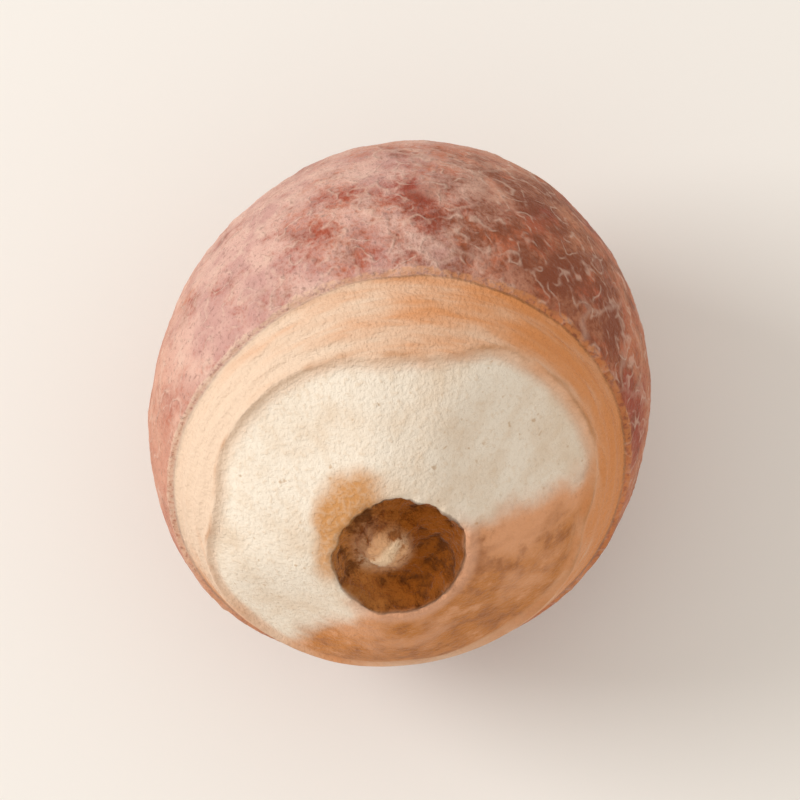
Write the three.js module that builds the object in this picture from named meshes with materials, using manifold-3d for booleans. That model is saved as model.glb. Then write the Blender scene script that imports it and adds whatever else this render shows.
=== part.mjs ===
// Fox nut: the round dried seed of the gorgon water lily. Two thirds of it wear the red-brown coat, and
// one end is bare down to the white kernel, with the scar of the stalk as a brown pit in its middle.
// The nut lies on a small flat spot of its coat, with the white end turned up and to the front.
// Units are millimetres, +Z is up, the flat spot lies on z = 0, and the origin is the middle of the
// nut's footprint.

import * as THREE from "three";
import { mergeVertices } from "three/addons/utils/BufferGeometryUtils.js";
import Module from "manifold-3d";

const DEGREE = Math.PI / 180;

// The seed stands upright in its own frame: axis along z, base below, white end above.
const EQUATOR_RADIUS = 3.86; // half the narrow width
const BASE_LENGTH = 4.32; // from the widest ring down to the end of the coat
const OVAL_STRETCH = 1.05; // how much wider the seed is along y than along x
const AXIS_LEAN = 0.108; // sideways drift of the axis towards -x, for each millimetre up

// The bare end, by latitude above the widest ring.
const COAT_EDGE_LATITUDE = 22.7 * DEGREE;
const BAND_TOP_LATITUDE = 41.7 * DEGREE;
const EDGE_BEVEL = 1.2 * DEGREE; // latitude that each small step takes
const COAT_THICKNESS = 0.1;
const BAND_THICKNESS = 0.06; // what is left of the tan inner layer
const BAND_RIDGES = 3;
const RIDGE_HEIGHT = 0.014;

// The scar in the middle of the white end.
const PIT_RADIUS = 0.98;
const PIT_DEPTH = 0.42;
const LIP_WIDTH = 0.2;
const LIP_HEIGHT = 0.035;
const PLUG_RADIUS = 0.38;
const PLUG_HEIGHT = 0.34; // above the floor of the pit
const PLUG_OFFSET = 0.2; // the plug sits this far towards -x

// The sides of the white end are flattened. Each flat has its angle round the axis and half its width,
// both seen from the middle of the seed, and reaches a little way down into the band.
const FLATS = [[36, 19], [134, 16], [226, 20], [308, 17]].map((flat) => flat.map((part) => part * DEGREE));
const FLAT_LATITUDE = 54 * DEGREE;
const FLAT_SPREAD = 2.5; // reach of a flat round the band, in half widths

// How unevenly the coat ends, as latitude.
const EDGE_WAVE = 1.2 * DEGREE;
const WAVE_WINDOW = [-10, 12, 50, 72].map((latitude) => latitude * DEGREE); // fades in, then out

// On one side a stain of the tan layer reaches up to the scar.
const STAIN_ANGLE = -52 * DEGREE;
const STAIN_HALF_WIDTH = 64 * DEGREE;

// Shallow dents that drying leaves in the coat.
const DENT_DEPTH = 0.022;
const DENT_PITCH = 3.3;

// How the nut lies: its axis is tipped forward from upright and turned a little to the side.
const TIP_FORWARD = 49.5 * DEGREE;
const TURN_ASIDE = 5.7 * DEGREE;
const REST_SPOT_DEPTH = 0.115; // leaves a spot nearly 2 mm across

const SEGMENTS = 80; // round the axis
const RINGS = { base: 20, shoulder: 5, bevel: 1, band: 12, cap: 10 };
const MERGE_DISTANCE = 1e-4;
const COLOURS = { coat: "#a8594c", band: "#e0ae7c", cap: "#efe2cb", pit: "#6b3a16", plug: "#c9986b" };

const wasm = await Module();
wasm.setup();

const smooth = (from, to, value) => THREE.MathUtils.smoothstep(value, from, to);

// Outline points from one latitude to another at a radius given by the latitude, last point left out.
function arc(from, to, steps, radiusAt) {
  return Array.from({ length: steps }, (_, i) => {
    const latitude = from + ((to - from) * i) / steps;
    const radius = radiusAt(latitude);
    return new THREE.Vector2(radius * Math.cos(latitude), radius * Math.sin(latitude));
  });
}

// The coat is a half ellipsoid below the widest ring and round above it.
function coatRadius(latitude) {
  if (latitude > 0) return EQUATOR_RADIUS;
  return 1 / Math.hypot(Math.cos(latitude) / EQUATOR_RADIUS, Math.sin(latitude) / BASE_LENGTH);
}

// The tan band lies a coat's thickness deeper, in a few fine rings.
function bandRadius(latitude) {
  const share = (latitude - COAT_EDGE_LATITUDE) / (BAND_TOP_LATITUDE - COAT_EDGE_LATITUDE);
  const ridge = RIDGE_HEIGHT * Math.cos(2 * Math.PI * BAND_RIDGES * share);
  return EQUATOR_RADIUS - COAT_THICKNESS + ridge;
}

const CAP_RADIUS = EQUATOR_RADIUS - COAT_THICKNESS - BAND_THICKNESS;
const RIM_RADIUS = PIT_RADIUS + LIP_WIDTH;
const RIM_LATITUDE = Math.acos(RIM_RADIUS / CAP_RADIUS);
const RIM_HEIGHT = CAP_RADIUS * Math.sin(RIM_LATITUDE);

// From the rim over the lip, down the wall and over the plug to the axis.
function pitOutline() {
  const floor = RIM_HEIGHT - PIT_DEPTH;
  return [
    [RIM_RADIUS, RIM_HEIGHT],
    [PIT_RADIUS + LIP_WIDTH / 2, RIM_HEIGHT + LIP_HEIGHT],
    [PIT_RADIUS, RIM_HEIGHT + LIP_HEIGHT / 2],
    [PIT_RADIUS * 0.94, RIM_HEIGHT - PIT_DEPTH * 0.3],
    [PIT_RADIUS * 0.86, RIM_HEIGHT - PIT_DEPTH * 0.75],
    [PIT_RADIUS * 0.72, floor],
    [PLUG_RADIUS * 1.3, floor],
    [PLUG_RADIUS, floor + PLUG_HEIGHT * 0.4],
    [PLUG_RADIUS * 0.8, floor + PLUG_HEIGHT * 0.85],
    [PLUG_RADIUS * 0.4, floor + PLUG_HEIGHT],
    [0, floor + PLUG_HEIGHT],
  ].map(([r, h]) => new THREE.Vector2(r, h));
}

function outline() {
  const bandFoot = COAT_EDGE_LATITUDE + EDGE_BEVEL;
  const capFoot = BAND_TOP_LATITUDE + EDGE_BEVEL;
  const tip = new THREE.Vector2(0, -BASE_LENGTH);
  return [
    tip,
    ...arc(-Math.PI / 2, 0, RINGS.base, coatRadius).slice(1),
    ...arc(0, COAT_EDGE_LATITUDE, RINGS.shoulder, coatRadius),
    ...arc(COAT_EDGE_LATITUDE, bandFoot, RINGS.bevel, coatRadius),
    ...arc(bandFoot, BAND_TOP_LATITUDE, RINGS.band, bandRadius),
    ...arc(BAND_TOP_LATITUDE, capFoot, RINGS.bevel, bandRadius),
    ...arc(capFoot, RIM_LATITUDE, RINGS.cap, () => CAP_RADIUS),
    ...pitOutline(),
  ];
}

// The coat's edge runs in low waves round the seed.
function coatWave(angle) {
  const broad = Math.cos(2 * angle + 0.17) + 0.4 * Math.cos(angle - 2.6);
  return EDGE_WAVE * (broad + 0.35 * Math.cos(5 * angle + 1));
}

// The edge of the white end dips where a flat reaches into the band.
function capWave(angle) {
  return FLATS.reduce((wave, [middle, size]) => {
    const dip = size - (FLAT_LATITUDE - BAND_TOP_LATITUDE);
    return wave - dip * smooth(Math.cos(FLAT_SPREAD * size), 1, Math.cos(angle - middle));
  }, 0);
}

function edgeLift(latitude, angle) {
  const [start, full, wane, end] = WAVE_WINDOW;
  const share = smooth(COAT_EDGE_LATITUDE, BAND_TOP_LATITUDE, latitude);
  const wave = THREE.MathUtils.lerp(coatWave(angle), capWave(angle), share);
  return wave * smooth(start, full, latitude) * (1 - smooth(wane, end, latitude));
}

// How far a point of the white end stands out of the flats.
function flatDepth(point) {
  const depths = FLATS.map(([angle, size]) => {
    const facing = new THREE.Vector3(Math.cos(angle), Math.sin(angle), Math.tan(FLAT_LATITUDE)).normalize();
    return point.dot(facing) - CAP_RADIUS * Math.cos(size);
  });
  return Math.max(0, ...depths);
}

function dent({ x, y, z }) {
  const wave = (v, phase) => Math.sin((2 * Math.PI * v) / DENT_PITCH + phase);
  return DENT_DEPTH * wave(x + 0.4 * z, 0.3) * wave(y - 0.3 * x, 1.9) * wave(z + 0.2 * y, 0.8);
}

// Moves a point of the true round seed to where the grown one has it.
function grow(point) {
  const angle = Math.atan2(point.y, point.x);
  const across = Math.hypot(point.x, point.y);
  const latitude = Math.atan2(point.z, across);
  const inPit = across < PIT_RADIUS && point.z > 0;
  const onCoat = 1 - smooth(COAT_EDGE_LATITUDE - 8 * DEGREE, COAT_EDGE_LATITUDE, latitude);
  const reach = point.length() + dent(point) * onCoat;
  const lifted = latitude + edgeLift(latitude, angle);
  const out = reach * Math.cos(lifted);
  point.set(out * Math.cos(angle), out * Math.sin(angle), reach * Math.sin(lifted));
  const onCap = smooth(BAND_TOP_LATITUDE, BAND_TOP_LATITUDE + EDGE_BEVEL, latitude);
  point.setLength(reach - flatDepth(point) * onCap);
  if (inPit) point.x -= PLUG_OFFSET * (1 - (across / PIT_RADIUS) ** 2);
  point.y *= OVAL_STRETCH;
  point.x -= AXIS_LEAN * point.z;
}

function seedGeometry() {
  const geometry = new THREE.LatheGeometry(outline(), SEGMENTS).rotateX(Math.PI / 2);
  const positions = geometry.getAttribute("position");
  const point = new THREE.Vector3();
  for (let i = 0; i < positions.count; i++) {
    point.fromBufferAttribute(positions, i);
    grow(point);
    positions.setXYZ(i, ...point);
  }
  return geometry;
}

function toSolid(geometry) {
  geometry.deleteAttribute("normal");
  geometry.deleteAttribute("uv");
  const merged = mergeVertices(geometry, MERGE_DISTANCE);
  const vertProperties = new Float32Array(merged.getAttribute("position").array);
  const triVerts = new Uint32Array(merged.index.array);
  return new wasm.Manifold(new wasm.Mesh({ numProp: 3, vertProperties, triVerts }));
}

function toGeometry(solid) {
  const { vertProperties, triVerts } = solid.getMesh();
  const geometry = new THREE.BufferGeometry();
  geometry.setAttribute("position", new THREE.BufferAttribute(vertProperties, 3));
  return geometry.setIndex(new THREE.BufferAttribute(triVerts, 1));
}

// Colours each vertex by the part of the seed that it lies on.
function paint(geometry) {
  const positions = geometry.getAttribute("position");
  const colours = new Float32Array(positions.count * 3);
  const point = new THREE.Vector3();
  for (let i = 0; i < positions.count; i++) {
    point.fromBufferAttribute(positions, i);
    new THREE.Color(COLOURS[zoneOf(point)]).toArray(colours, i * 3);
  }
  geometry.setAttribute("color", new THREE.BufferAttribute(colours, 3));
  geometry.computeVertexNormals();
}

function zoneOf(point) {
  const x = point.x + AXIS_LEAN * point.z;
  const y = point.y / OVAL_STRETCH;
  const across = Math.hypot(x, y);
  const angle = Math.atan2(y, x);
  const latitude = Math.atan2(point.z, across);
  if (point.z > 0 && Math.hypot(x + PLUG_OFFSET, y) < PLUG_RADIUS) return "plug";
  if (point.z > 0 && across < PIT_RADIUS) return "pit";
  if (latitude < COAT_EDGE_LATITUDE + coatWave(angle) + EDGE_BEVEL / 2) return "coat";
  const stained = Math.cos(angle - STAIN_ANGLE) > Math.cos(STAIN_HALF_WIDTH);
  return stained || latitude < BAND_TOP_LATITUDE + capWave(angle) + EDGE_BEVEL / 2 ? "band" : "cap";
}

// Lays the nut down over the origin and cuts off what is under the surface, which leaves the rest spot.
function layDown(nut) {
  nut.rotation.set(TIP_FORWARD, TURN_ASIDE, 0);
  const box = new THREE.Box3().setFromObject(nut, true);
  const middle = box.getCenter(new THREE.Vector3());
  nut.position.set(-middle.x, -middle.y, -box.min.z - REST_SPOT_DEPTH);
  nut.updateMatrixWorld();
  const under = new THREE.BoxGeometry(EQUATOR_RADIUS, EQUATOR_RADIUS, EQUATOR_RADIUS);
  under.translate(0, 0, -EQUATOR_RADIUS / 2).applyMatrix4(nut.matrixWorld.clone().invert());
  nut.geometry = toGeometry(toSolid(nut.geometry).subtract(toSolid(under)));
}

function foxNut() {
  const finish = new THREE.MeshStandardMaterial({ vertexColors: true, roughness: 0.75, metalness: 0 });
  const nut = new THREE.Mesh(seedGeometry(), finish);
  nut.name = "fox_nut";
  layDown(nut);
  paint(nut.geometry);
  return nut;
}

const part = new THREE.Group();
part.add(foxNut());

export default part;
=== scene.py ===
"""A dried fox nut, the round seed of the gorgon water lily, at the size and place of its plain solid.

Sizes are in metres, and MM is one millimetre. The seed is made upright in a frame of its own, with its
axis along z, its base down and its white end up. Then it is laid on its small flat spot.
"""

from math import acos, cos, hypot, pi, radians, sin, tan, tau

import bpy
from mathutils import Color, Matrix, Vector


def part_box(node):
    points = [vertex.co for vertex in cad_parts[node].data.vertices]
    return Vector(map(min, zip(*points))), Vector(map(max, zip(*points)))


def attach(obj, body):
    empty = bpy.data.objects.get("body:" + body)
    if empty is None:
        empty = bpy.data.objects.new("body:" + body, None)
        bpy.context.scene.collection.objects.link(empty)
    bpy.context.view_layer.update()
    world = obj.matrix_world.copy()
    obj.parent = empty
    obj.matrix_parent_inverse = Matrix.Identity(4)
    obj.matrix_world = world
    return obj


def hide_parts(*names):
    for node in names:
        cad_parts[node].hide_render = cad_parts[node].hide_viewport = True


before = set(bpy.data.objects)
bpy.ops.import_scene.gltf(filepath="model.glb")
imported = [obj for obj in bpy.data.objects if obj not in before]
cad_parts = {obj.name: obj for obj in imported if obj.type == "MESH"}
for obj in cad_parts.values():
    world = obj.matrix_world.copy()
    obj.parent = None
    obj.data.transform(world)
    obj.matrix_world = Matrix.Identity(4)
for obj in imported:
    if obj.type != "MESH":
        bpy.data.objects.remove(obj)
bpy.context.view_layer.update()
bpy.ops.object.select_all(action="DESELECT")


# The body of the seed
# A hard starchy kernel in a thin papery coat, which has come off one end. It dries slightly oval and
# leaning. Outline and sizes are those of the solid that it stands for.

MM = 0.001

EQUATOR_RADIUS = 3.86 * MM
BASE_LENGTH = 4.32 * MM
OVAL_STRETCH = 1.05
AXIS_LEAN = 0.108

COAT_EDGE_LATITUDE = radians(22.7)
BAND_TOP_LATITUDE = radians(41.7)
EDGE_BEVEL = radians(1.2)
COAT_THICKNESS = 0.1 * MM
BAND_THICKNESS = 0.06 * MM
BAND_RIDGES = 3
RIDGE_HEIGHT = 0.014 * MM

PIT_RADIUS = 0.98 * MM
PIT_DEPTH = 0.42 * MM
LIP_WIDTH = 0.2 * MM
LIP_HEIGHT = 0.035 * MM
PLUG_RADIUS = 0.38 * MM
PLUG_HEIGHT = 0.34 * MM
PLUG_OFFSET = 0.2 * MM

CAP_RADIUS = EQUATOR_RADIUS - COAT_THICKNESS - BAND_THICKNESS
RIM_RADIUS = PIT_RADIUS + LIP_WIDTH
RIM_LATITUDE = acos(RIM_RADIUS / CAP_RADIUS)
RIM_HEIGHT = CAP_RADIUS * sin(RIM_LATITUDE)
PIT_FLOOR = RIM_HEIGHT - PIT_DEPTH

SEGMENTS = 480
RINGS = {"base": 82, "shoulder": 25, "bevel": 3, "band": 23, "cap": 35}
PIT_STEPS = 3
MERGE_DISTANCE = 1e-7


def coat_radius(latitude):
    """The coat is a half ellipsoid below the widest ring and round above it."""
    if latitude > 0:
        return EQUATOR_RADIUS
    return 1 / hypot(cos(latitude) / EQUATOR_RADIUS, sin(latitude) / BASE_LENGTH)


def band_radius(latitude):
    """The tan band lies a coat's thickness deeper, in a few fine rings."""
    share = (latitude - COAT_EDGE_LATITUDE) / (BAND_TOP_LATITUDE - COAT_EDGE_LATITUDE)
    return EQUATOR_RADIUS - COAT_THICKNESS + RIDGE_HEIGHT * cos(tau * BAND_RIDGES * share)


def cap_radius(latitude):
    """The white end lies one layer deeper again and is round at every latitude."""
    return CAP_RADIUS


def outline_point(latitude, radius_at):
    return Vector((cos(latitude), sin(latitude))) * radius_at(latitude)


def arc(start, end, steps, radius_at):
    """Outline points from one latitude to another, the last left out."""
    return [outline_point(start + (end - start) * step / steps, radius_at) for step in range(steps)]


def straight(start, end, steps):
    """Outline points on a straight line, the last left out."""
    return [Vector(start).lerp(Vector(end), step / steps) for step in range(steps)]


def step_down(start, radius_at, end, radius_after):
    """The small straight step from one layer to the next."""
    return straight(outline_point(start, radius_at), outline_point(end, radius_after), RINGS["bevel"])


def pit_outline():
    """Over the lip, down the wall and over the plug to the axis."""
    corners = [
        (RIM_RADIUS, RIM_HEIGHT),
        (PIT_RADIUS + LIP_WIDTH / 2, RIM_HEIGHT + LIP_HEIGHT),
        (PIT_RADIUS, RIM_HEIGHT + LIP_HEIGHT / 2),
        (PIT_RADIUS * 0.94, RIM_HEIGHT - PIT_DEPTH * 0.3),
        (PIT_RADIUS * 0.86, RIM_HEIGHT - PIT_DEPTH * 0.75),
        (PIT_RADIUS * 0.72, PIT_FLOOR),
        (PLUG_RADIUS * 1.3, PIT_FLOOR),
        (PLUG_RADIUS, PIT_FLOOR + PLUG_HEIGHT * 0.4),
        (PLUG_RADIUS * 0.8, PIT_FLOOR + PLUG_HEIGHT * 0.85),
        (PLUG_RADIUS * 0.4, PIT_FLOOR + PLUG_HEIGHT),
        (0, PIT_FLOOR + PLUG_HEIGHT),
    ]
    points = [point for pair in zip(corners, corners[1:]) for point in straight(*pair, PIT_STEPS)]
    return [*points, corners[-1]]


band_foot = COAT_EDGE_LATITUDE + EDGE_BEVEL
cap_foot = BAND_TOP_LATITUDE + EDGE_BEVEL
outline = [
    *arc(-pi / 2, 0, RINGS["base"], coat_radius)[1:],
    *arc(0, COAT_EDGE_LATITUDE, RINGS["shoulder"], coat_radius),
    *step_down(COAT_EDGE_LATITUDE, coat_radius, band_foot, band_radius),
    *arc(band_foot, BAND_TOP_LATITUDE, RINGS["band"], band_radius),
    *step_down(BAND_TOP_LATITUDE, band_radius, cap_foot, cap_radius),
    *arc(cap_foot, RIM_LATITUDE, RINGS["cap"], cap_radius),
    *pit_outline(),
]

bpy.ops.mesh.primitive_plane_add(size=MM)
seed = bpy.context.object
seed.name = seed.data.name = "seed"
bpy.ops.object.mode_set(mode="EDIT")
bpy.ops.mesh.merge(type="CENTER")
here = Vector((0, 0, -BASE_LENGTH))
bpy.ops.transform.translate(value=here)
for radius, height in outline:
    there = Vector((radius, 0, height))
    bpy.ops.mesh.extrude_vertices_move(TRANSFORM_OT_translate={"value": there - here})
    here = there
bpy.ops.object.mode_set(mode="OBJECT")
turned = seed.modifiers.new("turned", "SCREW")
turned.steps = turned.render_steps = SEGMENTS
turned.angle = tau
bpy.ops.object.modifier_apply(modifier=turned.name)
bpy.ops.object.mode_set(mode="EDIT")
bpy.ops.mesh.select_all(action="SELECT")
bpy.ops.mesh.remove_doubles(threshold=MERGE_DISTANCE)
bpy.ops.mesh.normals_make_consistent(inside=False)
bpy.ops.object.mode_set(mode="OBJECT")


# The growth of the seed
# What made the true round body a grown one: edges that run in low waves, dents from drying, veins and
# flakes on the coat, fine rings on the band, a chalky end and a rough scar. It moves the skin itself.

# Each wave of the coat's edge: how many go round the seed, where they start and how high they are.
EDGE_WAVES = [(2, 0.17, radians(1.2)), (1, -2.6, radians(0.48)), (5, 1.0, radians(0.42))]
WAVES_BEGIN = radians(-10)
WAVES_FULL = radians(12)
WAVES_WANE = radians(50)
WAVES_END = radians(72)
RAGGED_WAVE = radians(1.6)
RAGGED_PITCH = 0.7 * MM

# Each flattened side of the white end: the angle round the axis that it faces, and its half width.
FLATS = [[radians(part) for part in flat] for flat in ((36, 19), (134, 16), (226, 20), (308, 17))]
FLAT_LATITUDE = radians(54)
FLAT_SPREAD = 2.5
FLAT_CREASE = 0.15 * MM

DENT_DEPTH = 0.022 * MM
DENT_PITCH = 3.3 * MM
DENT_LEANS = (0.4, -0.3, 0.2)
DENT_STARTS = (0.3, 1.9, 0.8)
DENT_FADE = radians(8)

NUMBER_SHIFT = 7.3
SWING_SPREAD = 2.4
VEIN_PITCH = 1.1 * MM
VEIN_WIDTH = 0.08
VEIN_BEND = 0.6 * MM
VEIN_BREAKS = 1.3 * MM
FLAKE_PITCH = 0.4 * MM
FLAKE_WIDTH = 0.05
FLAKE_BEND = 0.2 * MM
FLAKE_BEND_PITCH = 0.3 * MM
FLAKE_BREAKS = 0.22 * MM
RING_PITCH = 0.4 * MM
RING_STRETCH = (0.2, 0.2, 1.2)
LEATHER_PITCH = 0.6 * MM
CHALK_LUMP_PITCH = 1.5 * MM
SCAR_PITCH = 0.3 * MM
SCAR_NUMBER = 11
COAT_RELIEF = {"vein": 0.012 * MM, "flake": 0.008 * MM, "leather": 0.07 * MM}
RING_RELIEF = 0.05 * MM
CHALK_RELIEF = 0.1 * MM
SCAR_RELIEF = 0.26 * MM
SKIN_SINK = 0.02 * MM

WOBBLE_REACH = 1.9 * PIT_RADIUS
WOBBLE_PITCH = 0.8 * MM
PIT_WOBBLE = 0.09 * MM


class Reading:
    """A number, vector or colour that differs over the seed. Sums on it add Math nodes to its tree."""

    def __init__(self, tree, socket=None):
        self.tree = tree
        self.socket = socket

    def node(self, kind, settings=None, inputs=None, output=0):
        """A new node: its settings first, then the values or links of its sockets."""
        made = self.tree.nodes.new(kind)
        for name, value in (settings or {}).items():
            setattr(made, name, value)
        for name, value in (inputs or {}).items():
            if isinstance(value, Reading):
                self.tree.links.new(value.socket, made.inputs[name])
            else:
                made.inputs[name].default_value = value
        return Reading(self.tree, made.outputs[output] if made.outputs else None)

    def maths(self, operation, *others):
        inputs = dict(enumerate((self, *others)))
        return self.node("ShaderNodeMath", {"operation": operation}, inputs)

    def vector(self, operation, *others, output="Vector"):
        inputs = dict(enumerate((self, *others)))
        return self.node("ShaderNodeVectorMath", {"operation": operation}, inputs, output)

    def __add__(self, other):
        return self.maths("ADD", other)

    __radd__ = __add__

    def __sub__(self, other):
        return self.maths("SUBTRACT", other)

    def __rsub__(self, other):
        return self.maths("MULTIPLY_ADD", -1.0, other)

    def __mul__(self, other):
        return self.maths("MULTIPLY", other)

    __rmul__ = __mul__

    def __truediv__(self, other):
        return self.maths("DIVIDE", other)

    def __pow__(self, other):
        return self.maths("POWER", other)

    def __abs__(self):
        return self.maths("ABSOLUTE")

    def sine(self):
        return self.maths("SINE")

    def cosine(self):
        return self.maths("COSINE")

    def fade(self, none, full):
        """0 up to the first value and 1 from the second on, smooth between, either way round."""
        inputs = {0: self, 1: none, 2: full}
        return self.node("ShaderNodeMapRange", {"interpolation_type": "SMOOTHSTEP"}, inputs)

    def least(self, others):
        """The smallest of this number and the others."""
        nearest = self
        for other in others:
            nearest = nearest.maths("MINIMUM", other)
        return nearest

    def parts(self):
        return [self.node("ShaderNodeSeparateXYZ", {}, {0: self}, axis) for axis in "XYZ"]


def joined(x, y, z):
    return x.node("ShaderNodeCombineXYZ", {}, {"X": x, "Y": y, "Z": z})


def noise(place, pitch, number, detail=2.0, roughness=0.5, output=0):
    """Soft random blots of about that pitch, 0 to 1. Each number gives other blots."""
    shift = NUMBER_SHIFT * number * pitch
    inputs = {"Vector": place.vector("ADD", (shift, shift, shift)), "Scale": 1 / pitch}
    inputs |= {"Detail": detail, "Roughness": roughness}
    return place.node("ShaderNodeTexNoise", {}, inputs, output)


def swing(place, pitch, number, detail=2.0):
    """The same blots about zero, from about -1 to 1."""
    return (noise(place, pitch, number, detail) - 0.5) * SWING_SPREAD


def bent(place, pitch, number, amount):
    """The place, shifted at random so that lines drawn on it wander."""
    drift = noise(place, pitch, number, detail=1.0, output="Color").vector("SUBTRACT", (0.5, 0.5, 0.5))
    return place.vector("ADD", drift.vector("MULTIPLY", (amount, amount, amount)))


def veins(place):
    """A broken net of fine veins, 1 on a vein."""
    inputs = {"Vector": bent(place, VEIN_BEND, 3, VEIN_BEND), "Scale": 1 / VEIN_PITCH}
    gap = place.node("ShaderNodeTexVoronoi", {"feature": "DISTANCE_TO_EDGE"}, inputs)
    return gap.fade(VEIN_WIDTH, 0.0) * noise(place, VEIN_BREAKS, 4).fade(0.42, 0.6)


def flakes(place):
    """Short wandering flakes of dry skin, 1 on a flake."""
    level = noise(bent(place, FLAKE_BEND_PITCH, 6, FLAKE_BEND), FLAKE_PITCH, 5, detail=1.0)
    return abs(level - 0.5).fade(FLAKE_WIDTH, 0.0) * noise(place, FLAKE_BREAKS, 7).fade(0.38, 0.6)


def rings(place):
    """Soft lines that run round the seed, 0 to 1."""
    return noise(place.vector("MULTIPLY", RING_STRETCH), RING_PITCH, 9, detail=3.0)


def coat_wave(angle):
    """The coat's edge runs in low waves round the seed."""
    wave = 0.0
    for count, start, height in EDGE_WAVES:
        wave = wave + height * (count * angle + start).cosine()
    return wave


def cap_wave(angle):
    """The edge of the white end dips where a flat reaches into the band."""
    wave = 0.0
    for middle, size in FLATS:
        dip = size - (FLAT_LATITUDE - BAND_TOP_LATITUDE)
        wave = wave - dip * (angle - middle).cosine().fade(cos(FLAT_SPREAD * size), 1.0)
    return wave


def flat_depth(x, y, z):
    """How far a point of the white end stands out of its four flattened sides."""
    depth = 0.0
    for middle, size in FLATS:
        facing = Vector((cos(middle), sin(middle), tan(FLAT_LATITUDE))).normalized()
        above = x * facing.x + y * facing.y + z * facing.z - CAP_RADIUS * cos(size)
        depth = above.maths("SMOOTH_MAX", depth, FLAT_CREASE)
    return depth


def dent(x, y, z):
    """Low dents from drying, where three slow waves cross. They lean, so that no row of dents shows."""
    turns = tau / DENT_PITCH
    depth = DENT_DEPTH
    for along, across, lean, start in zip((x, y, z), (z, x, y), DENT_LEANS, DENT_STARTS):
        depth = depth * ((along + lean * across) * turns + start).sine()
    return depth


growth = bpy.data.node_groups.new("growth", "GeometryNodeTree")
for end in ("INPUT", "OUTPUT"):
    growth.interface.new_socket("Seed", in_out=end, socket_type="NodeSocketGeometry")
start = Reading(growth)

place = start.node("GeometryNodeInputPosition")
x, y, z = place.parts()
girth = (x * x + y * y) ** 0.5
angle = y.maths("ARCTAN2", x)
latitude = z.maths("ARCTAN2", girth)
marked = start.node("NodeGroupInput")
for name, value in {"latitude": latitude, "girth": girth}.items():
    inputs = {"Geometry": marked, "Name": name, "Value": value}
    marked = marked.node("GeometryNodeStoreNamedAttribute", {}, inputs)

# Each point keeps its side, and its latitude and its reach from the middle change.
window = latitude.fade(WAVES_BEGIN, WAVES_FULL) * latitude.fade(WAVES_END, WAVES_WANE)
share = latitude.fade(COAT_EDGE_LATITUDE, BAND_TOP_LATITUDE)
wave = coat_wave(angle) * (1 - share) + cap_wave(angle) * share
lifted = latitude + (wave + RAGGED_WAVE * (noise(place, RAGGED_PITCH, 1) - 0.5)) * window
on_coat = latitude.fade(COAT_EDGE_LATITUDE, COAT_EDGE_LATITUDE - DENT_FADE)
reach = (girth * girth + z * z) ** 0.5 + dent(x, y, z) * on_coat
round_x, round_y = angle.cosine(), angle.sine()
way_out, way_up = lifted.cosine(), lifted.sine()
depth = flat_depth(reach * way_out * round_x, reach * way_out * round_y, reach * way_up)
reach = reach - depth * latitude.fade(BAND_TOP_LATITUDE, cap_foot)
grown_height = reach * way_up

# The rim of the pit wobbles, and the plug stands off its middle.
at_top = z.fade(0.0, MM)
near_pit = girth.fade(WOBBLE_REACH, PIT_RADIUS) * at_top * girth.fade(0.0, PIT_RADIUS)
wobble = swing(joined(round_x * MM, round_y * MM, 0.0), WOBBLE_PITCH, 12)
out = reach * way_out + near_pit * PIT_WOBBLE * wobble
in_pit = girth.fade(PIT_RADIUS, PIT_RADIUS * 0.99) * at_top
drift = in_pit * PLUG_OFFSET * (1 - (girth / PIT_RADIUS) ** 2)
grown_x = out * round_x - drift - AXIS_LEAN * grown_height
grown = joined(grown_x, out * round_y * OVAL_STRETCH, grown_height)
shaped = start.node("GeometryNodeSetPosition", {}, {"Geometry": marked, "Position": grown})

# The relief is read at the grown place, where the skin's colours are read too, so both fall together.
name_of = {"data_type": "FLOAT"}
latitude = start.node("GeometryNodeInputNamedAttribute", name_of, {"Name": "latitude"})
girth = start.node("GeometryNodeInputNamedAttribute", name_of, {"Name": "girth"})
coat = latitude.fade(band_foot, COAT_EDGE_LATITUDE)
cap = latitude.fade(BAND_TOP_LATITUDE, cap_foot) * girth.fade(PIT_RADIUS, RIM_RADIUS)
scar = girth.fade(RIM_RADIUS, PIT_RADIUS) * latitude.fade(0.0, 1.0)
band = 1 - coat - cap - scar
coat_relief = (
    COAT_RELIEF["vein"] * veins(place)
    + COAT_RELIEF["flake"] * flakes(place)
    + COAT_RELIEF["leather"] * (noise(place, LEATHER_PITCH, 8, detail=3.0) - 0.5)
)
band_relief = RING_RELIEF * (rings(place) - 0.5)
cap_relief = CHALK_RELIEF * (noise(place, CHALK_LUMP_PITCH, 10, detail=4.0) - 0.5)
scar_relief = SCAR_RELIEF * (noise(place, SCAR_PITCH, SCAR_NUMBER, detail=3.0) - 0.5)
relief = coat_relief * coat + band_relief * band + cap_relief * cap + scar_relief * scar - SKIN_SINK
normal = start.node("GeometryNodeInputNormal")
push = normal.node("ShaderNodeVectorMath", {"operation": "SCALE"}, {"Vector": normal, "Scale": relief})
raised = start.node("GeometryNodeSetPosition", {}, {"Geometry": shaped, "Offset": push})
raised.node("NodeGroupOutput", {}, {0: raised})

skin_growth = seed.modifiers.new("growth", "NODES")
skin_growth.node_group = growth
bpy.ops.object.modifier_apply(modifier=skin_growth.name)


# The lie of the seed
# It lies tipped forward and a little aside, so that the white end and its scar look up and to the
# front. Its weight rests on a small flat spot of the coat.

TIP_FORWARD = radians(49.5)
TURN_ASIDE = radians(5.7)
REST_SPOT_DEPTH = 0.115 * MM

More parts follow.
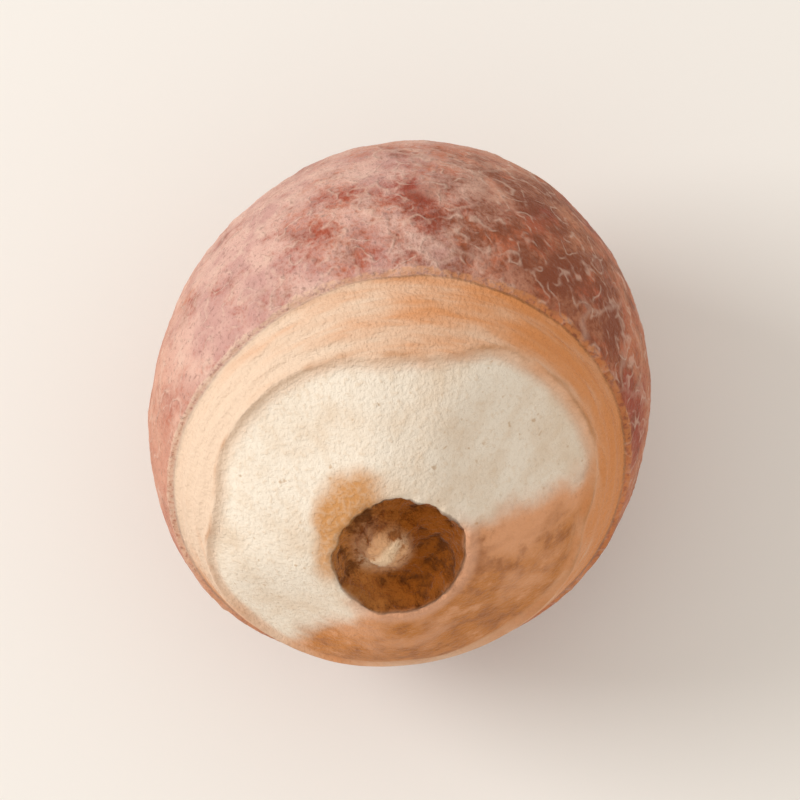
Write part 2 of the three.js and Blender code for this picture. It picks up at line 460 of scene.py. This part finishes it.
lie = Matrix.Rotation(TIP_FORWARD, 4, "X") @ Matrix.Rotation(TURN_ASIDE, 4, "Y")
seed.rotation_euler = lie.to_euler()
bpy.ops.object.transform_apply(location=False, rotation=True, scale=False)
low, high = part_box("fox_nut")
own_low, own_high = Vector(seed.bound_box[0]), Vector(seed.bound_box[6])
own_origin = (low + high - own_low - own_high) / 2
own_origin.z = low.z - own_low.z - REST_SPOT_DEPTH
seed.location = own_origin
bpy.ops.object.transform_apply(location=True, rotation=False, scale=False)

bpy.ops.object.mode_set(mode="EDIT")
bpy.ops.mesh.select_all(action="SELECT")
bpy.ops.mesh.bisect(
    plane_co=(0, 0, low.z),
    plane_no=(0, 0, 1),
    use_fill=True,
    clear_inner=True,
    threshold=MERGE_DISTANCE,
)
bpy.ops.mesh.region_to_loop()
bpy.ops.mesh.mark_sharp()
bpy.ops.mesh.select_all(action="SELECT")
bpy.ops.mesh.normals_make_consistent(inside=False)
bpy.ops.mesh.faces_shade_smooth()
bpy.ops.object.mode_set(mode="OBJECT")


# The skin of the seed
# Brick red papery coat under a pinkish powder, a band of the tan inner layer, chalky cream kernel,
# and a brown scar with a pale plug. All of it is dry and matt. A side is an angle round the axis.

WANDER_PITCH = 0.5 * MM


def pigment(code):
    """A colour as a shader takes it, from its six sRGB digits."""
    parts = [int(code[i : i + 2], 16) / 255 for i in (0, 2, 4)]
    return (*Color(parts).from_srgb_to_scene_linear(), 1.0)


def laid(under, over, share):
    """One colour over another, as thick as share says. A Mix node takes colours at 6 and 7."""
    under, over = (pigment(c) if isinstance(c, str) else c for c in (under, over))
    return share.node("ShaderNodeMix", {"data_type": "RGBA"}, {0: share, 6: under, 7: over}, 2)


def facing(towards, degrees):
    """How far something points to that side."""
    way = (cos(radians(degrees)), sin(radians(degrees)), 0)
    return towards.vector("DOT_PRODUCT", way, output="Value")


skin = bpy.data.materials.new("seed_skin")
skin.use_nodes = True
shader = skin.node_tree.nodes["Principled BSDF"]
start = Reading(skin.node_tree)

place = start.node("ShaderNodeTexCoord", {}, {}, "Object")
mapping = {"Vector": place, "Location": own_origin, "Rotation": lie.to_euler()}
place = start.node("ShaderNodeMapping", {"vector_type": "TEXTURE"}, mapping)
latitude = start.node("ShaderNodeAttribute", {"attribute_name": "latitude"}, {}, "Fac")
girth = start.node("ShaderNodeAttribute", {"attribute_name": "girth"}, {}, "Fac")
x, y, z = place.parts()
x = x + AXIS_LEAN * z
y = y / OVAL_STRETCH
flat = joined(x, y, 0.0)
side = flat.vector("NORMALIZE")
out_way = place.vector("NORMALIZE")
wander = swing(place, WANDER_PITCH, 20, detail=3.0)

# The coat runs from red to orange, with dusky mottling that is thickest on one shoulder, and with red
# spots where it is rubbed. A thin powder, pale veins and flakes and dark grain lie over it. The powder
# is thicker and paler toward the upper left, where the key light falls, which is partly painted light.
# The orange and the warm powder on the right side, turned from the lamp, and on the lower left are
# partly painted reflected orange light. Its torn edge shows the inner layer, with the band's painted
# shade.
COAT_COLOURS = {"red": "a04a36", "orange": "b76645", "dusk": "81452c", "rubbed": "99392b"}
POWDER_COLOURS = {"pink": "e4bcad", "mauve": "d0a49a", "warm_and_reflected": "d48e66"}
FLAKE_COLOUR = "e2bfac"
GRAIN_COLOUR = "6b3326"
BAND_COLOURS = {"cream": "e9cdb3", "tan": "da9057", "line": "b67c4b"}
COAT_COVER = {"dusk": 0.85, "rubbed": 0.8, "powder": 0.85, "vein": 0.3, "flake": 0.5, "grain": 0.45}
GRAIN_PITCH = 0.08 * MM
HUE_PITCH = 1.6 * MM
MOTTLE_PITCH = 0.5 * MM
MOTTLE_BEND = 0.3 * MM
DUSK_SIDE = (0.52, 0.84, 0.16)
DUSK_MOTTLE = 0.17
RUBBED_SPOTS = [
    (0.02, 3.67, -0.21),
    (0.33, 3.65, 0.2),
    (-0.87, 3.6, -0.3),
    (-1.15, 3.48, 0.33),
    (-0.28, 3.53, 0.99),
]
RUBBED_RADIUS = 0.8 * MM
RUBBED_WAVE = 0.3 * MM
POWDER_PITCH = 0.9 * MM
POWDER_AND_LIGHT_SIDE = (-0.85, 0.5, 0.0)
POWDER_AND_LIGHT_LEAN = 0.13
POWDER_GRAIN = 0.5
POWDER_LOSS = {"dusk": 0.11, "rubbed": 0.22}
MAUVE_PITCH = 0.7 * MM
WARM_SIDE = 15
WARM_HUE = 0.1
WARM_COVER = 0.9
WARM_LEFT_SIDE = -160
WARM_LEFT_COVER = 0.6
TORN_WAVE = radians(1.8)
TORN_BEGINS = COAT_EDGE_LATITUDE - radians(1.0)
TORN_FULL = COAT_EDGE_LATITUDE - radians(0.2)
TORN_COVER = 0.6
TORN_GRAIN = 0.5
RIPE_AND_SHADE_MIDDLE = 0.43
RIPE_AND_SHADE_SIDE = 5
LOW_SHADE_SIDE = -125
RIPE_AND_SHADE_LEAN = 0.5

grain = noise(place, GRAIN_PITCH, 25, detail=3.0, roughness=0.6)
dusk = out_way.vector("DOT_PRODUCT", DUSK_SIDE, output="Value").fade(0.72, 0.97)
mottle_place = bent(place, MOTTLE_PITCH, 22, MOTTLE_BEND)
mottle = noise(mottle_place, MOTTLE_PITCH, 21, detail=4.0, roughness=0.65)
# Partly painted reflected orange light: the coat turns more orange on the right side, turned from the
# lamp.
hue = (noise(place, HUE_PITCH, 23) + WARM_HUE * facing(side, WARM_SIDE)).fade(0.42, 0.62)
coat_colour = laid(COAT_COLOURS["red"], COAT_COLOURS["orange"], hue)
dusky = (mottle + DUSK_MOTTLE * dusk).fade(0.48, 0.67)
coat_colour = laid(coat_colour, COAT_COLOURS["dusk"], dusky * COAT_COVER["dusk"])

spots = [[part * MM for part in spot] for spot in RUBBED_SPOTS]
first, *others = (place.vector("DISTANCE", spot, output="Value") for spot in spots)
gap = first.least(others) + RUBBED_WAVE * wander
rubbed = gap.fade(RUBBED_RADIUS, 0.1 * RUBBED_RADIUS) * mottle.fade(0.26, 0.46)
coat_colour = laid(coat_colour, COAT_COLOURS["rubbed"], rubbed * COAT_COVER["rubbed"])

# Painted light: the powder lies thicker and paler toward the upper left, the side the key light falls
# on.
powder_and_light_lean = POWDER_AND_LIGHT_LEAN * out_way.vector("DOT_PRODUCT", POWDER_AND_LIGHT_SIDE, output="Value")
powder = noise(place, POWDER_PITCH, 24, detail=6.0, roughness=0.68)
powder = powder + powder_and_light_lean + POWDER_GRAIN * (grain - 0.5)
powder = (powder - POWDER_LOSS["dusk"] * dusk - POWDER_LOSS["rubbed"] * rubbed).fade(0.29, 0.68)
mauve = noise(place, MAUVE_PITCH, 36, detail=3.0).fade(0.42, 0.6)
# Partly painted reflected orange light: the powder turns warm on the right side and on the lower left.
warm_and_reflected = facing(side, WARM_SIDE).fade(0.3, 0.9) * WARM_COVER
warm_left_and_reflected = facing(side, WARM_LEFT_SIDE).fade(0.5, 1.0) * WARM_LEFT_COVER
powder_colour = laid(POWDER_COLOURS["pink"], POWDER_COLOURS["mauve"], mauve)
powder_colour = laid(powder_colour, POWDER_COLOURS["warm_and_reflected"], warm_and_reflected)
powder_colour = laid(powder_colour, POWDER_COLOURS["warm_and_reflected"], warm_left_and_reflected)
coat_colour = laid(coat_colour, powder_colour, powder * COAT_COVER["powder"])

flake = flakes(place)
coat_colour = laid(coat_colour, FLAKE_COLOUR, veins(place) * COAT_COVER["vein"])
coat_colour = laid(coat_colour, FLAKE_COLOUR, flake * COAT_COVER["flake"])
coat_colour = laid(coat_colour, GRAIN_COLOUR, grain.fade(0.52, 0.74) * COAT_COVER["grain"])

# Painted shade: the tan of the band and the torn edge deepens on the right side, turned from the lamp,
# and on the lower left.
painted_low_shade = facing(side, LOW_SHADE_SIDE).fade(0.5, 1.0)
ripe_and_shade = RIPE_AND_SHADE_MIDDLE + RIPE_AND_SHADE_LEAN * facing(side, RIPE_AND_SHADE_SIDE) + RIPE_AND_SHADE_LEAN * painted_low_shade
torn_colour = laid(BAND_COLOURS["cream"], BAND_COLOURS["tan"], ripe_and_shade.fade(0.0, 0.8))
torn = (latitude + TORN_WAVE * wander).fade(TORN_BEGINS, TORN_FULL)
torn = torn * (TORN_COVER - TORN_GRAIN * grain.fade(0.45, 0.65))
coat_colour = laid(coat_colour, torn_colour, torn)

# The band is tan and cream, in soft rings of fine fibres. It is more tan on the right side, partly the
# seed's riper colour and partly painted shade as that side is turned from the lamp, and on the lower
# left, where the tan is painted shade. It pales away from the coat, and a thin darker line ends it in
# places.
FIBRE_PITCH = 0.1 * MM
FIBRE_STRETCH = (0.15, 0.15, 1.0)
BAND_WAVE = 0.08
BAND_TAN = {"ripe_and_shade": 1.1, "rings": 1.2, "fibres": 0.6}
BAND_PALING = 0.3
LINE_PITCH = 0.8 * MM
LINE_PLACE = 0.97
LINE_WIDTH = 0.08
LINE_COVER = 0.6

up_band = (latitude - COAT_EDGE_LATITUDE) / (BAND_TOP_LATITUDE - COAT_EDGE_LATITUDE)
up_band = up_band + BAND_WAVE * wander
lines = rings(place)
fibres = noise(place.vector("MULTIPLY", FIBRE_STRETCH), FIBRE_PITCH, 34, detail=3.0)
tan_share = BAND_TAN["ripe_and_shade"] * ripe_and_shade * (1 - BAND_PALING * up_band.fade(0.3, 1.0))
tan_share = tan_share + BAND_TAN["rings"] * (lines - 0.5) + BAND_TAN["fibres"] * (fibres - 0.5)
band_colour = laid(BAND_COLOURS["cream"], BAND_COLOURS["tan"], tan_share.fade(0.0, 1.0))
rim_line = abs(up_band - LINE_PLACE).fade(LINE_WIDTH, 0.0) * noise(place, LINE_PITCH, 27).fade(0.4, 0.6)
band_colour = laid(band_colour, BAND_COLOURS["line"], rim_line * LINE_COVER)

# The white end is chalky, with faint rays, grain and a few specks.
CAP_COLOURS = {"chalk": "f0e3d1", "shade": "e0c8ad", "speck": "b58b5b"}
CAP_COVER = {"shade": 0.7, "ray": 0.4, "grain": 0.5, "speck": 0.5}
CHALK_PITCH = 1.2 * MM
RAY_PITCH = 0.14 * MM
RAY_STRETCH = 0.25
SPECK_PITCH = 0.13 * MM

chalk = noise(place, CHALK_PITCH, 28, detail=5.0, roughness=0.6)
rays = noise(joined(x / girth * MM, y / girth * MM, girth * RAY_STRETCH), RAY_PITCH, 29)
specks = noise(place, SPECK_PITCH, 30, detail=1.0).fade(0.7, 0.8)
cap_layers = [
    ("shade", chalk.fade(0.42, 0.72) * CAP_COVER["shade"]),
    ("shade", rays.fade(0.5, 0.75) * CAP_COVER["ray"]),
    ("shade", grain.fade(0.5, 0.72) * CAP_COVER["grain"]),
    ("speck", specks * CAP_COVER["speck"]),
]
cap_colour = CAP_COLOURS["chalk"]
for name, cover in cap_layers:
    cap_colour = laid(cap_colour, CAP_COLOURS[name], cover)

# An orange-brown stain covers the lower part of the white end on one side, the side turned from the
# lamp.
# It is partly the seed's own stain and partly painted shade and painted reflected orange light. It is
# paler at its edge and darker towards the bottom, with dark blotches and rays and pale clouds.
STAIN_AND_SHADE_COLOURS = {"edge": "e4a274", "deep": "c27628", "dark": "98541b"}
STAIN_AND_SHADE_COVER = {"blotch": 0.7, "ray": 0.35, "pale": 0.6, "cloud": 0.6, "all": 0.95}
STAIN_AND_SHADE_TOP = 0.48 * MM
STAIN_AND_SHADE_TOP_WAVE = 0.25 * MM
STAIN_AND_SHADE_SIDE = -32
STAIN_AND_SHADE_SIDE_WAVE = {"wander": 0.2 * MM, "cloud": 0.9 * MM}
STAIN_AND_SHADE_DEPTH = 1.5 * MM
STAIN_AND_SHADE_DEPTH_WAVE = {"wander": 0.35 * MM, "chalk": 0.5 * MM}
CLOUD_PITCH = 1.3 * MM
BLOTCH_PITCH = 0.45 * MM

cloud = noise(place, CLOUD_PITCH, 37, detail=3.0)
blotch = noise(place, BLOTCH_PITCH, 35, detail=4.0, roughness=0.65)
# Partly painted shade and reflected orange light: the patch lies on the side turned from the lamp and
# darkens towards the bottom.
below = STAIN_AND_SHADE_TOP - y + STAIN_AND_SHADE_TOP_WAVE * wander
beside = facing(flat, STAIN_AND_SHADE_SIDE) + STAIN_AND_SHADE_SIDE_WAVE["wander"] * wander
beside = beside + STAIN_AND_SHADE_SIDE_WAVE["cloud"] * (cloud - 0.5)
stain_and_shade = below.fade(-0.25 * MM, 0.3 * MM) * beside.fade(-0.36 * MM, 0.2 * MM)
depth = below + STAIN_AND_SHADE_DEPTH_WAVE["wander"] * wander + STAIN_AND_SHADE_DEPTH_WAVE["chalk"] * (chalk - 0.5)
stain_and_shade_colour = laid(STAIN_AND_SHADE_COLOURS["edge"], STAIN_AND_SHADE_COLOURS["deep"], depth.fade(0.0, STAIN_AND_SHADE_DEPTH))
stain_and_shade_layers = [
    ("dark", blotch.fade(0.48, 0.66) * STAIN_AND_SHADE_COVER["blotch"]),
    ("dark", rays.fade(0.48, 0.68) * STAIN_AND_SHADE_COVER["ray"]),
    ("edge", blotch.fade(0.46, 0.3) * STAIN_AND_SHADE_COVER["pale"]),
    ("edge", cloud.fade(0.5, 0.36) * STAIN_AND_SHADE_COVER["cloud"]),
]
for name, cover in stain_and_shade_layers:
    stain_and_shade_colour = laid(stain_and_shade_colour, STAIN_AND_SHADE_COLOURS[name], cover)
cap_colour = laid(cap_colour, stain_and_shade_colour, stain_and_shade * STAIN_AND_SHADE_COVER["all"])

# A tan patch hugs the rim of the scar on the other side.
TAN_COLOUR = "ca8c4c"
TAN_SIDE = 150
TAN_MIDDLE = 128
TAN_REACH = RIM_RADIUS + 0.12 * MM
TAN_BULGE = 0.3 * MM
TAN_WAVE = 0.1 * MM
TAN_COVER = 0.95
TAN_LOSS = {"grain": 0.25, "chalk": 0.3}

reach = TAN_REACH + TAN_BULGE * facing(side, TAN_MIDDLE).fade(0.75, 1.0) + TAN_WAVE * wander
tan_patch = (reach - girth).fade(-0.08 * MM, 0.18 * MM) * facing(side, TAN_SIDE).fade(0.5, 0.85)
tan_cover = TAN_COVER - TAN_LOSS["grain"] * grain.fade(0.4, 0.7)
tan_cover = tan_cover - TAN_LOSS["chalk"] * chalk.fade(0.5, 0.7)
cap_colour = laid(cap_colour, TAN_COLOUR, tan_patch * tan_cover)

# The scar is rough and brown, darkest in its hollows and at its wall. Painted light and shade run
# across
# it: it is paler on the left, whose real wall lies in shade, and darker on the right, where the plug's
# shadow is painted. Its plug is paler, with a painted highlight in a streak across it.
SCAR_COLOURS = {"lit": "d18b47", "wall": "a25a12", "deep": "552a07", "plug": "dfaa7c", "pale": "edcba6"}
SCAR_COVER = {"hollow": 0.75, "rim": 0.35, "plug": 0.8}
SCAR_WAVE = {"side": 0.3 * MM, "rim": 0.05 * MM, "plug": 0.12 * MM}
PLUG_PLACE = (-0.26 * MM, -0.13 * MM, 0.0)
PLUG_INNER = 0.36 * MM
PLUG_OUTER = 0.58 * MM
HIGHLIGHT_TURN = 43
HIGHLIGHT_END = 0.52 * MM
HIGHLIGHT_INNER = 0.05 * MM
HIGHLIGHT_OUTER = 0.19 * MM

rough = noise(place, SCAR_PITCH, SCAR_NUMBER, detail=5.0, roughness=0.65)
# Painted light and shade: paler on the left, whose real wall lies in shade, darker on the right under
# the plug's painted shadow.
painted_light_to_shade = (x + SCAR_WAVE["side"] * wander).fade(-0.9 * MM, 0.2 * MM)
rim = (girth + SCAR_WAVE["rim"] * wander).fade(0.84 * PIT_RADIUS, PIT_RADIUS)
scar_colour = laid(SCAR_COLOURS["lit"], SCAR_COLOURS["wall"], painted_light_to_shade)
scar_colour = laid(scar_colour, SCAR_COLOURS["deep"], rough.fade(0.52, 0.34) * SCAR_COVER["hollow"])
scar_colour = laid(scar_colour, SCAR_COLOURS["deep"], rim * SCAR_COVER["rim"])
from_plug = flat.vector("DISTANCE", PLUG_PLACE, output="Value") + SCAR_WAVE["plug"] * wander
across = facing(flat.vector("SUBTRACT", PLUG_PLACE), HIGHLIGHT_TURN + 90) + SCAR_WAVE["plug"] * wander
# A painted highlight: a pale streak across the top of the plug.
painted_highlight = abs(across).fade(HIGHLIGHT_OUTER, HIGHLIGHT_INNER) * from_plug.fade(HIGHLIGHT_END, PLUG_INNER)
plug_rough = rough.fade(0.5, 0.36) * SCAR_COVER["plug"]
plug_colour = laid(SCAR_COLOURS["plug"], SCAR_COLOURS["wall"], plug_rough)
plug_colour = laid(plug_colour, SCAR_COLOURS["pale"], painted_highlight * rough.fade(0.35, 0.5))
scar_colour = laid(scar_colour, plug_colour, from_plug.fade(PLUG_OUTER, PLUG_INNER))

# The zones are put together, with a painted highlight along the lip on the lower side of the scar.
LIP_HIGHLIGHT_COLOUR = "dda888"
LIP_HIGHLIGHT_SIDE = -50
LIP_HIGHLIGHT_COVER = 0.6
LIP_INNER = RIM_RADIUS - 0.05 * MM
LIP_OUTER = RIM_RADIUS + 0.1 * MM
BAND_BEGINS = COAT_EDGE_LATITUDE + 0.6 * EDGE_BEVEL
CAP_WAVE = radians(0.7)
CAP_BEGINS = BAND_TOP_LATITUDE - 0.3 * EDGE_BEVEL
CAP_FULL = BAND_TOP_LATITUDE + 3.5 * EDGE_BEVEL
SCAR_EDGE_WAVE = 0.04 * MM
COAT_ROUGHNESS = 0.76
ROUGHER = {"band": -0.12, "cap": 0.12, "scar": 0.08, "rubbed": -0.1}
BUMP = {"grain": 0.045 * MM, "fibre": 0.05 * MM, "flake": 0.012 * MM, "scar": 0.15 * MM}
SPECULAR = 0.25
SHEEN = 0.22
SHEEN_ROUGHNESS = 0.3
SHEEN_COLOUR = "ffe4d2"

on_band = latitude.fade(BAND_BEGINS, band_foot)
on_cap = (latitude + CAP_WAVE * wander).fade(CAP_BEGINS, CAP_FULL)
# A painted highlight along the lip's lit side, below and to the right of the scar.
lip_highlight = on_cap * girth.fade(LIP_OUTER, LIP_INNER) * facing(side, LIP_HIGHLIGHT_SIDE).fade(-0.2, 0.7)
in_scar = on_cap * (girth + SCAR_EDGE_WAVE * wander).fade(1.05 * PIT_RADIUS, 0.97 * PIT_RADIUS)
colour = laid(coat_colour, band_colour, on_band)
colour = laid(colour, cap_colour, on_cap)
colour = laid(colour, LIP_HIGHLIGHT_COLOUR, lip_highlight * LIP_HIGHLIGHT_COVER)
colour = laid(colour, scar_colour, in_scar)

on_coat = 1 - on_band
roughness = COAT_ROUGHNESS + ROUGHER["band"] * on_band + ROUGHER["cap"] * on_cap
roughness = roughness + ROUGHER["scar"] * in_scar + ROUGHER["rubbed"] * rubbed * on_coat
height = BUMP["grain"] * grain + BUMP["fibre"] * on_band * (1 - on_cap) * (lines + fibres)
height = height + BUMP["flake"] * flake * on_coat + BUMP["scar"] * in_scar * rough
bump = start.node("ShaderNodeBump", {}, {"Strength": 1.0, "Distance": 1.0, "Height": height})
for socket, reading in {"Base Color": colour, "Roughness": roughness, "Normal": bump}.items():
    skin.node_tree.links.new(reading.socket, shader.inputs[socket])
shader.inputs["Specular IOR Level"].default_value = SPECULAR
shader.inputs["Sheen Weight"].default_value = SHEEN
shader.inputs["Sheen Roughness"].default_value = SHEEN_ROUGHNESS
shader.inputs["Sheen Tint"].default_value = pigment(SHEEN_COLOUR)

seed.data.materials.append(skin)
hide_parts("fox_nut")
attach(seed, "root")


# The floor, the light and the camera
# A pale floor under plain soft studio light from the upper left. The camera looks steeply down on the
# front of the seed.

FLOOR_SIZE = 0.6
FLOOR_COLOUR = "efece7"
FLOOR_ROUGHNESS = 0.9
KEY = {"way": (-0.86, 0.14, 0.68), "away": 0.13, "size": 0.06, "power": 0.089}
ROOM_COLOUR = (1.0, 0.95, 0.89, 1.0)
ROOM_STRENGTH = 0.77
CAMERA_ELEVATION = radians(78)
CAMERA_LENS = 400
SENSOR_WIDTH = 36
FRAME_SHARE = 0.66

centre = (low + high) / 2
bpy.ops.mesh.primitive_plane_add(size=FLOOR_SIZE, location=(0, 0, low.z))
floor = bpy.context.object
floor.name = "floor"
paper = bpy.data.materials.new("floor_paper")
paper.use_nodes = True
paper_shader = paper.node_tree.nodes["Principled BSDF"]
paper_shader.inputs["Base Color"].default_value = pigment(FLOOR_COLOUR)
paper_shader.inputs["Roughness"].default_value = FLOOR_ROUGHNESS
floor.data.materials.append(paper)

way = Vector(KEY["way"]).normalized()
bpy.ops.object.light_add(type="AREA", location=centre + way * KEY["away"])
key = bpy.context.object
key.name = "key"
key.rotation_euler = way.to_track_quat("Z", "Y").to_euler()
key.data.size = KEY["size"]
key.data.energy = KEY["power"]

world = bpy.data.worlds.new("studio")
world.use_nodes = True
room = world.node_tree.nodes["Background"]
room.inputs["Color"].default_value = ROOM_COLOUR
room.inputs["Strength"].default_value = ROOM_STRENGTH
bpy.context.scene.world = world
bpy.context.scene.view_settings.view_transform = "Standard"

away = (high.y - low.y) / FRAME_SHARE * CAMERA_LENS / SENSOR_WIDTH
back = Vector((0, -cos(CAMERA_ELEVATION), sin(CAMERA_ELEVATION)))
bpy.ops.object.camera_add(location=centre + back * away)
camera = bpy.context.object
camera.rotation_euler = back.to_track_quat("Z", "Y").to_euler()
camera.data.lens = CAMERA_LENS
camera.data.sensor_width = SENSOR_WIDTH
camera.data.clip_start = MM
bpy.context.scene.camera = camera
